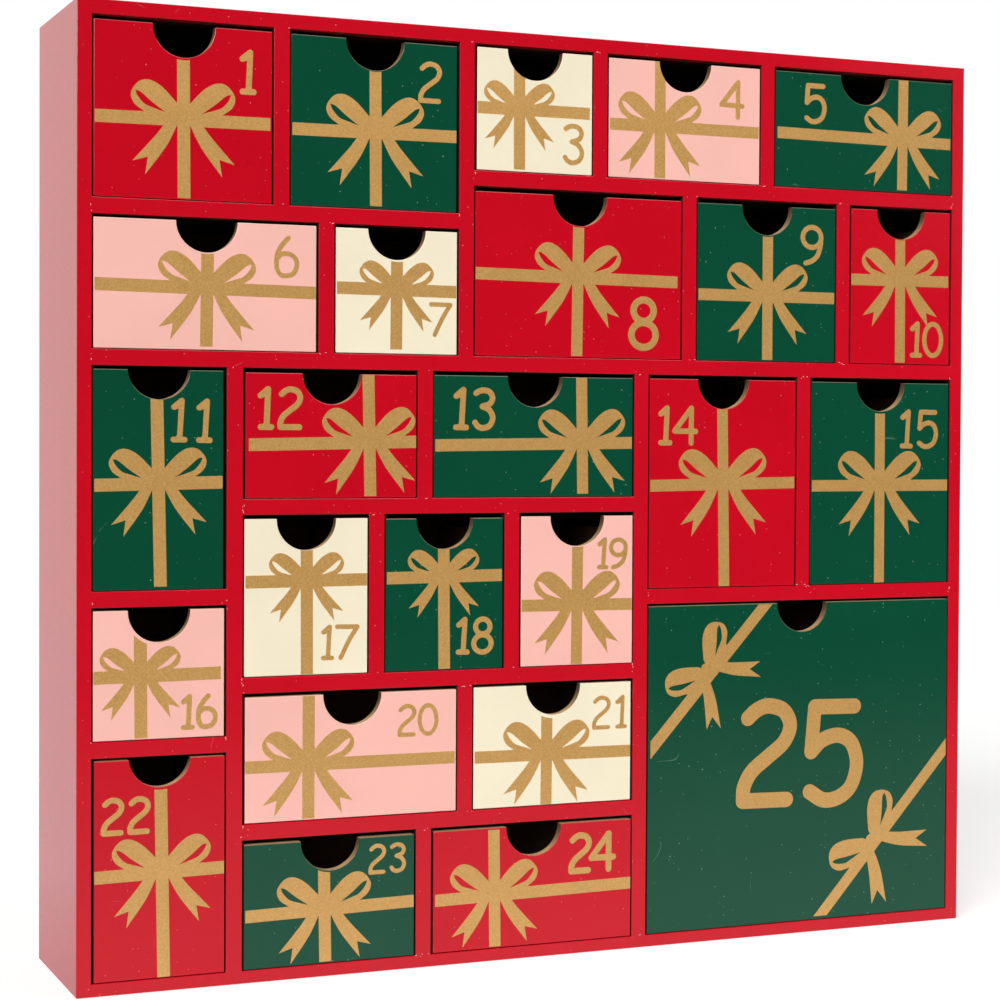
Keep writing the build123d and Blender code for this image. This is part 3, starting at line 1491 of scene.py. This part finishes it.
@dataclass(frozen=True)
class Bow:
    """A printed gift ribbon with a bow: the crossing's place in millimetres, the bow's size and its tilt."""

    x: float
    z: float
    size: float = 0.95
    tilt: float = 0.0
    crossed: bool = True
    lift: float = 0.0
    ribbon: float = 4.8

    LOOP: ClassVar[tuple[Point, ...]] = (
        (2.0, 5.6), (7.7, 11.5), (12.5, 14.1), (16.6, 13.4), (19.6, 9.4), (18.6, 5.4), (14.6, 2.3),
    )
    LEAF_TOP: ClassVar[tuple[Point, ...]] = ((6.9, 2.5), (12.0, 6.2), (16.0, 9.5), (18.1, 10.2))
    LEAF_LOW: ClassVar[tuple[Point, ...]] = ((18.1, 10.2), (17.2, 8.0), (14.6, 5.2), (11.3, 3.9), (6.9, 2.5))
    TAIL_OUT: ClassVar[tuple[Point, ...]] = ((5.5, 0.0), (7.7, -2.5), (11.0, -6.7), (19.3, -15.9))
    TAIL_IN: ClassVar[tuple[Point, ...]] = ((14.5, -20.7), (7.7, -11.7), (4.6, -6.5), (1.8, -0.5))
    TAIL_FORK: ClassVar[Point] = (13.5, -14.2)
    KNOT: ClassVar[tuple[Point, Point]] = ((0.0, 2.0), (2.3, 2.5))

    def draw(self, stencil: Stencil) -> None:
        """Add the ribbon and the bow to a print.

        Args:
            stencil: Print that takes them.
        """
        long, half = 200.0, self.ribbon / 2
        stencil.ink(self._turned([(-long, -half), (long, -half), (long, half), (-long, half)]))
        if self.crossed:
            stencil.ink(self._turned([(-half, -long), (half, -long), (half, long), (-half, long)]))
        else:
            stencil.ink(self._sized(ellipse(*self.KNOT)))
        loop = [(0.0, 0.0), *smooth(self.LOOP), (12.5, 0.0)]
        leaf = [*smooth(self.LEAF_TOP), *smooth(self.LEAF_LOW)[1:-1]]
        tail = [*smooth(self.TAIL_OUT), self.TAIL_FORK, *smooth(self.TAIL_IN)]
        for side in (1.0, -1.0):
            stencil.ink(self._sized(loop, side), self._sized(leaf, side))
            stencil.ink(self._sized(tail, side))

    def _sized(self, outline: Iterable[Point], side: float = 1.0) -> list[Point]:
        """Bring an outline of the bow's right half to its size, side and tilt."""
        return self._turned([(x * side * self.size, z * self.size + self.lift) for x, z in outline])

    def _turned(self, outline: Iterable[Point]) -> list[Point]:
        """Turn an outline by the tilt and move it to the crossing."""
        cos, sin = math.cos(math.radians(self.tilt)), math.sin(math.radians(self.tilt))
        return [(self.x + x * cos - z * sin, self.z + x * sin + z * cos) for x, z in outline]


@dataclass(frozen=True)
class Margins:
    """How far the print stops short of each edge of the front and of the notch, in millimetres."""

    left: float = 0.4
    right: float = 0.6
    low: float = 0.5
    high: float = 0.4
    notch: float = 0.35


@dataclass(frozen=True)
class Trim:
    """How much shorter a front was cut at its left, its right and its top, in millimetres."""

    left: float = 0.0
    right: float = 0.0
    top: float = 0.0


@dataclass
class Drawer:
    """One drawer: a painted front board with its print, and an open tray behind it."""

    number: int
    paint: FrontPaint
    bows: tuple[Bow, ...]
    label: Label
    margins: Margins = Margins()
    trim: Trim = Trim()
    notch_steps: int = 0
    least_margin: float = 0.1
    notch_print_steps: int = 64
    notch_radius: float = 11.7 * MM
    face_recess: float = 0.1 * MM
    ink_height: float = 0.05 * MM
    front_ease: float = 0.22 * MM
    tray_ease: float = 0.25 * MM
    tray_wall: float = 3.0 * MM
    side_gap: float = 0.6 * MM
    top_gap: float = 1.0 * MM
    bottom_gap: float = 0.3 * MM
    name: str = field(init=False)
    box: Box = field(init=False)

    def __post_init__(self) -> None:
        """Take the front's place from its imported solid."""
        self.name = f"drawer_{self.number:02d}"
        self.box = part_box(f"{self.name}_front")

    def opening(self) -> Opening:
        """Find the clear opening that the drawer runs in.

        Returns:
            The opening.
        """
        low, high = self.box
        return Opening(
            low.x - self.side_gap,
            high.x + self.side_gap,
            low.z - self.bottom_gap,
            high.z + self.top_gap,
        )

    def board(self) -> Box:
        """Find the front board's own box, as it was cut.

        Returns:
            Its lowest and highest corner.
        """
        low, high = self.box
        near = Vector((self.trim.left * MM, self.face_recess, 0.0))
        far = Vector((self.trim.right * MM, 0.0, self.trim.top * MM))
        return low + near, high - far

    def notch_drop(self) -> float:
        """How far the notch's middle lies below the top edge, a whole number of half facets round."""
        return self.notch_radius * math.sin(self.notch_steps * math.pi / NOTCH_FACETS)

    def build(self, tree: bpy.types.NodeTree) -> None:
        """Build and dress the front, its print and the tray.

        Args:
            tree: Geometry tree of the drawer fronts.
        """
        self.front(tree)
        self.gold_print()
        self.tray()

    def front(self, tree: bpy.types.NodeTree) -> None:
        """Make the front board, paint its face, leave its top and notch bare and give its outer edges painted
        shade.

        Args:
            tree: Geometry tree of the drawer fronts.
        """
        low, high = self.board()
        size = high - low
        piece = new_object(f"{self.name}_painted_front", bpy.data.meshes.new(f"{self.name}_painted_front"))
        sizes = {
            "Width": size.x,
            "Thickness": size.y,
            "Height": size.z,
            "Notch Radius": self.notch_radius,
            "Notch Drop": self.notch_drop(),
            "Notch Turn": (self.notch_steps + 1) % 2 * math.pi / NOTCH_FACETS,
            "Middle": (low + high) / 2,
            "Board": FRONT_BOARD.material(),
        }
        grow(piece, tree, sizes)
        add_bevel(piece, self.front_ease)
        settle(piece)
        # Side and lower edges get dark board as painted shade, the notch wall painted shade, up-facing edges
        # a painted highlight.
        lay_finishes(piece.data, (self.paint.finish(), FRONT_BOARD, PAINTED_SHADE_EDGE), self.finish_index)
        mark_faces(piece.data, "edge", edge_wear)
        mark_faces(piece.data, "shade", shade_of)
        place_piece(piece, self.name, self.paint.value, f"{self.name}_front")

    def finish_index(self, face: bpy.types.MeshPolygon) -> int:
        """Choose a face's finish.

        Args:
            face: Face of the front board.

        Returns:
            0 for paint on the face, 1 for bare board on top, notch and back, 2 for painted shade on outer
            edges.
        """
        if face.normal.y < -FACING:
            return 0
        low, high = self.board()
        near = 2 * self.front_ease
        beside = min(face.center.x - low.x, high.x - face.center.x) < near
        return 2 if beside or face.center.z - low.z < near else 1

    def gold_print(self) -> None:
        """Print the ribbon, the bow and the number on the face."""
        low, high = self.box
        half = ((high.x - low.x) / 2 / MM, (high.z - low.z) / 2 / MM)
        cut = self.trim
        left = max(self.margins.left, cut.left + self.least_margin) - half[0]
        right = half[0] - max(self.margins.right, cut.right + self.least_margin)
        base = self.margins.low - half[1]
        top = half[1] - max(self.margins.high, cut.top + self.least_margin)
        stencil = Stencil()
        stencil.keep_inside([(left, base), (right, base), (right, top), (left, top)])
        clear = self.notch_radius / MM + self.margins.notch
        notch = ((cut.left - cut.right) / 2, half[1] - cut.top - self.notch_drop() / MM)
        stencil.keep_outside(ellipse(notch, (clear, clear), self.notch_print_steps))
        for bow in self.bows:
            bow.draw(stencil)
        self.label.draw(stencil, self.number)
        face = low.y + self.face_recess
        middle = ((low.x + high.x) / 2, (low.z + high.z) / 2)
        mesh = stencil.mesh(f"{self.name}_print", middle, face - self.ink_height, face + self.ink_height)
        lay_finishes(mesh, (GOLD,))
        place_piece(new_object(f"{self.name}_print", mesh), self.name, "gold_print")

    def tray(self) -> None:
        """Make the four bare boards of the tray, darkened as painted shade."""
        low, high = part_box(f"{self.name}_tray")
        wall = self.tray_wall
        boards = [
            (low, Vector((low.x + wall, high.y, high.z))),
            (Vector((high.x - wall, low.y, low.z)), high),
            (Vector((low.x + wall, low.y, low.z)), Vector((high.x - wall, high.y, low.z + wall))),
            (Vector((low.x + wall, high.y - wall, low.z + wall)), Vector((high.x - wall, high.y, high.z))),
        ]
        mesh = eased_boxes(f"{self.name}_bare_tray", boards, self.tray_ease)
        lay_finishes(mesh, (TRAY_BOARD_IN_SHADE,))
        place_piece(new_object(f"{self.name}_bare_tray", mesh), self.name, "tray_wood", f"{self.name}_tray")


def all_drawers() -> list[Drawer]:
    """The twenty-five drawers with their colours and prints.

    Returns:
        The drawers in the order of their numbers.
    """
    red, green, pink, cream = FrontPaint.RED, FrontPaint.GREEN, FrontPaint.PINK, FrontPaint.CREAM
    first_corner = Bow(-42.5, 38.6, 0.955, 48.0, False, 1.1)
    second_corner = Bow(35.8, -36.4, 1.045, 48.2, False)
    return [
        Drawer(1, red, (Bow(-0.3, -3.1, 1.0, 0.4),), Label(24.2, 16.2, 17.1),
               Margins(right=0.8, notch=0.95), Trim(right=0.15, top=0.65), 1),
        Drawer(2, green, (Bow(-0.2, -3.6, 1.0, 0.45),), Label(21.9, 17.1, 16.5, weight=0.12),
               Margins(right=0.8, low=0.9, notch=0.5), Trim(right=0.7, top=0.75)),
        Drawer(3, cream, (Bow(-6.5, 0.4, 0.763, 0.2),), Label(16.8, -12.1, 16.8, weight=0.117),
               Margins(right=1.0, low=0.8, notch=0.1), Trim(left=0.45, top=0.2)),
        Drawer(4, pink, (Bow(-11.5, -2.8, 0.945, 0.0),), Label(21.1, 10.2, 16.4, weight=0.126),
               Margins(high=0.1, notch=0.1), Trim(right=0.15, top=0.5)),
        Drawer(5, green, (Bow(18.4, -2.3, 0.956, -0.4),), Label(-24.0, 10.9, 17.2, weight=0.125),
               Margins(left=0.9, low=0.9), Trim(right=0.1, top=0.45)),
        Drawer(6, pink, (Bow(-0.2, -1.1, 0.947, -0.7),), Label(30.5, 11.7, 16.6, weight=0.11),
               Margins(low=1.2, notch=0.5), Trim(right=0.4, top=0.15)),
        Drawer(7, cream, (Bow(-0.3, 0.6, 0.768, -0.4),), Label(17.8, -10.5, 13.6),
               Margins(low=1.6, notch=0.7), Trim(right=0.3, top=0.3)),
        Drawer(8, red, (Bow(-1.1, -0.9, 0.952, -0.6),), Label(28.0, -18.5, 22.0),
               Margins(left=0.1, right=1.8, notch=0.6), Trim(right=0.2, top=0.9), 1),
        Drawer(9, green, (Bow(0.1, -5.8, 0.956, 0.0),), Label(20.9, 16.1, 17.3, weight=0.125),
               Margins(notch=0.7), Trim(right=0.2, top=1.1), 1),
        Drawer(10, red, (Bow(-0.4, 2.7, 0.952, 0.3),), Label(13.0, -22.1, 15.6, 0.0, 0.135),
               Margins(left=0.1, right=1.0, notch=0.45), Trim(left=0.25, right=0.3, top=0.3), 1),
        Drawer(11, green, (Bow(-0.6, -1.6, 0.93, 1.2),), Label(12.0, 22.0, 16.9, 3.0, 0.125, -1.0),
               Margins(right=1.1, low=1.1, notch=0.25), Trim(right=0.8, top=0.25), -2),
        Drawer(12, red, (Bow(15.1, -2.9, 0.953, 1.2),), Label(-20.4, 10.0, 16.6, 1.3, 0.137),
               Margins(left=1.6, right=0.1, high=0.1), Trim(left=0.35, top=0.7)),
        Drawer(13, green, (Bow(20.2, -2.9, 0.963, 0.9),), Label(-26.0, 10.5, 17.1, 1.4, 0.137, -0.8),
               Margins(low=1.0, high=0.1), Trim(right=0.3, top=0.5), 1),
        Drawer(14, red, (Bow(-0.2, -0.6, 1.025, 1.0),), Label(-20.9, 23.4, 16.4, -0.15, 0.137),
               Margins(low=0.2, notch=0.25), Trim(right=0.15, top=0.45), 1),
        Drawer(15, green, (Bow(-0.5, -1.4, 1.028, 0.1),), Label(18.85, 22.6, 17.0, 1.8, 0.125, -1.0),
               Margins(low=0.2, notch=1.05), Trim(right=0.4, top=0.7), 1),
        Drawer(16, pink, (Bow(-7.2, -0.5, 0.768, 0.5),), Label(15.0, -14.5, 13.4, 0.5, 0.14),
               Margins(left=0.1, right=1.6, notch=1.2), Trim(right=0.35, top=0.1), 1),
        Drawer(17, cream, (Bow(0.0, 5.9, 0.755, 0.25),), Label(13.4, -18.0, 13.8, 0.1, 0.13, -0.7),
               Margins(right=0.3, low=0.2, notch=0.1), Trim(right=0.1, top=0.45), 1),
        Drawer(18, green, (Bow(-0.6, 6.4, 0.755, 0.5),), Label(12.5, -17.1, 14.9, 0.7, 0.142, -1.0),
               Margins(low=0.3, notch=0.05), Trim(right=0.3, top=0.85), 1),
        Drawer(19, pink, (Bow(0.0, -6.0, 0.95, -0.4),), Label(15.5, 14.4, 12.9, 0.1, 0.14, -1.2),
               Margins(right=0.3, low=0.3, notch=0.25), Trim(left=0.2, top=0.45), 1),
        Drawer(20, pink, (Bow(-17.4, -2.9, 0.928, -0.1),), Label(26.9, 12.3, 12.9, 0.5, 0.132),
               Margins(high=0.6), Trim(left=0.4, top=0.4), 1),
        Drawer(21, cream, (Bow(-3.1, -3.9, 0.946, -0.4),), Label(24.5, 11.8, 13.9, 1.95, 0.12),
               Margins(right=0.3, low=0.2, notch=1.35), Trim(right=0.4, top=0.1), 1),
        Drawer(22, red, (Bow(1.0, -1.6, 0.945, 1.0),), Label(-12.6, 20.3, 14.1, 1.45, 0.15),
               Margins(right=0.2, low=0.2, notch=1.0), Trim(left=0.45), -3),
        Drawer(23, green, (Bow(-2.3, -3.4, 0.954, 1.0),), Label(23.0, 14.6, 11.9, 1.5, 0.137),
               Margins(left=0.7, right=0.2, notch=0.7), Trim(left=0.2, right=0.2, top=0.8)),
        Drawer(24, red, (Bow(-16.6, -3.2, 0.944, 0.8),), Label(25.7, 11.1, 16.5, -1.1, 0.155),
               Margins(left=1.2, right=0.1, high=1.2), Trim(left=0.4, top=0.5), 1),
        Drawer(25, green, (first_corner, second_corner), Label(0.0, 3.6, 45.6, 4.0, 0.142, -1.2, 0.85),
               Margins(left=1.2, right=0.1, low=1.2, high=0.3), Trim(left=0.15), 1),
    ]


@dataclass
class Studio:
    """A pale floor, a white background, soft lamps and the camera."""

    floor_width: float = 3.0
    floor_front: float = 1.0
    floor_rear: float = 1.6
    floor_drop: float = 0.3 * MM
    floor_turn: float = -8.4
    floor_colour: Colour = (0.70, 0.70, 0.69, 1.0)
    floor_glow: float = 0.60
    floor_mirror: float = 0.66
    floor_fade: float = 1.0
    floor_rear_mirror: float = 0.2
    rear_fade: float = 0.22
    room_light: float = 0.20
    behind_slope: float = 3.0
    behind_start: float = 0.2
    rear_mirror: float = 0.87
    rear_tint: Colour = (1.0, 0.98, 0.935, 1.0)
    key_power: float = 3.0
    key_spread: float = 40.0
    fill_power: float = 6.5
    fill_size: float = 0.5
    top_power: float = 2.4
    top_size: float = 0.6
    lens: float = 84.67
    sensor: float = 36.0
    nearest: float = 0.01
    shift: Point = (-0.1005, -0.0138)
    eye: tuple[float, float, float] = (-0.36504, -0.90037, 0.20903)
    turn: tuple[float, float, float] = (-24.013, 88.72, 0.344)

    def build(self) -> None:
        """Set up the whole studio."""
        self.floor()
        self.background()
        self.lamps()
        self.camera()
        bpy.context.scene.view_settings.view_transform = "Standard"

    @staticmethod
    def rays(graph: Graph) -> tuple[Value, Value]:
        """Tell rays apart.

        Args:
            graph: Node tree that asks.

        Returns:
            1 on a ray from the camera, and 1 on a ray that a glossy or clear surface sends on.
        """
        found = graph.node("ShaderNodeLightPath").outputs
        mirrored = Value(graph, found["Is Glossy Ray"]).at_least(found["Is Transmission Ray"])
        return Value(graph, found["Is Camera Ray"]), mirrored

    def floor(self) -> None:
        """Lay a pale sheet that keeps the soft shadow and fades, in reflections, toward the camera."""
        turn = Matrix.Rotation(math.radians(self.floor_turn), 3, "Z")
        half, near, far = self.floor_width / 2, -self.floor_front, self.floor_rear
        sheet = [(-half, near), (half, near), (half, far), (-half, far)]
        mesh = bpy.data.meshes.new("studio_floor")
        mesh.from_pydata([turn @ Vector((x, y, -self.floor_drop)) for x, y in sheet], [], [(0, 1, 2, 3)])
        material = bpy.data.materials.new("studio_floor")
        material.use_nodes = True
        graph = Graph(material.node_tree)
        matte = graph.node("ShaderNodeBsdfDiffuse", None, {"Color": self.floor_colour})
        camera, mirrored = self.rays(graph)
        back = graph.depth(graph.place())
        front = (1.0 + back * (1.0 / self.floor_fade)).clamped() * self.floor_mirror
        rear = (back * (1.0 / self.rear_fade)).clamped() * self.floor_rear_mirror
        glow = graph.node("ShaderNodeEmission", None, {"Strength": camera * self.floor_glow})
        seen = graph.node("ShaderNodeAddShader", None, {0: matte.outputs[0], 1: glow.outputs[0]})
        mirror = graph.node("ShaderNodeEmission", None, {"Strength": front + rear})
        shares = {0: mirrored, 1: seen.outputs[0], 2: mirror.outputs[0]}
        look = graph.node("ShaderNodeMixShader", None, shares)
        graph.node("ShaderNodeOutputMaterial", None, {"Surface": look.outputs[0]})
        mesh.materials.append(material)
        new_object("studio_floor", mesh)

    def background(self) -> None:
        """White behind the calendar, dim in front of it, and an even light from all round."""
        world = bpy.data.worlds.new("studio")
        bpy.context.scene.world = world
        world.use_nodes = True
        graph = Graph(world.node_tree)
        camera, mirrored = self.rays(graph)
        heading = graph.node("ShaderNodeTexCoord").outputs["Generated"]
        behind = (graph.depth(heading) * self.behind_slope - self.behind_start).clamped()
        lit = mirrored * behind * self.rear_mirror + (1.0 - mirrored) * self.room_light
        strength = camera + (1.0 - camera) * lit
        tint = graph.mix(camera, self.rear_tint, (1.0, 1.0, 1.0, 1.0))
        sky = graph.node("ShaderNodeBackground", None, {"Color": tint, "Strength": strength})
        graph.node("ShaderNodeOutputWorld", None, {"Surface": sky.outputs[0]})

    def lamps(self) -> None:
        """A soft key lamp from the upper left, a fill from the right and a high lamp for the gold's sheen."""
        key = self.lamp("key_lamp", "SUN", toward=(0.65, 0.66, -0.45))
        key.data.energy = self.key_power
        key.data.angle = math.radians(self.key_spread)
        fill = self.lamp("right_fill", "AREA", toward=(-1.1, 1.2, -0.4), at=(1.1, -1.2, 0.6))
        fill.data.shape = "DISK"
        fill.data.size = self.fill_size
        fill.data.energy = self.fill_power
        fill.visible_glossy = False
        top = self.lamp("top_sheen", "AREA", toward=(-0.25, 0.6, -0.55), at=(0.25, -0.6, 0.95))
        top.data.shape = "DISK"
        top.data.size = self.top_size
        top.data.energy = self.top_power
        top.visible_diffuse = False
        for lamp in (fill, top):
            lamp.visible_camera = False

    @staticmethod
    def lamp(
        name: str,
        kind: str,
        toward: tuple[float, float, float],
        at: tuple[float, float, float] = (0.0, 0.0, 1.0),
    ) -> bpy.types.Object:
        """Hang one lamp.

        Args:
            name: Name of the lamp.
            kind: Blender's type of light.
            toward: Direction that it shines in.
            at: Where it hangs, in metres.

        Returns:
            The lamp's object.
        """
        made = bpy.data.objects.new(name, bpy.data.lights.new(name, kind))
        bpy.context.scene.collection.objects.link(made)
        turn = Vector(toward).to_track_quat("-Z", "Y").to_matrix().to_4x4()
        made.matrix_world = Matrix.Translation(at) @ turn
        return made

    def camera(self) -> None:
        """Stand the camera at the photograph's viewpoint."""
        data = bpy.data.cameras.new("camera")
        data.lens = self.lens
        data.sensor_width = self.sensor
        data.shift_x, data.shift_y = self.shift
        data.clip_start = self.nearest
        made = bpy.data.objects.new("camera", data)
        bpy.context.scene.collection.objects.link(made)
        pan, tip, roll = (math.radians(angle) for angle in self.turn)
        turn = Matrix.Rotation(pan, 4, "Z") @ Matrix.Rotation(tip, 4, "X") @ Matrix.Rotation(roll, 4, "Z")
        made.matrix_world = Matrix.Translation(self.eye) @ turn
        bpy.context.scene.camera = made


def main() -> None:
    """Build the studio, the case and the drawers."""
    logging.basicConfig(level=logging.INFO, format="%(name)s: %(message)s")
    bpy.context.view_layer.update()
    Studio().build()
    drawers = all_drawers()
    Case([drawer.opening() for drawer in drawers]).build()
    tree = front_tree()
    for drawer in drawers:
        drawer.build(tree)


if __name__ == "__main__":
    main()
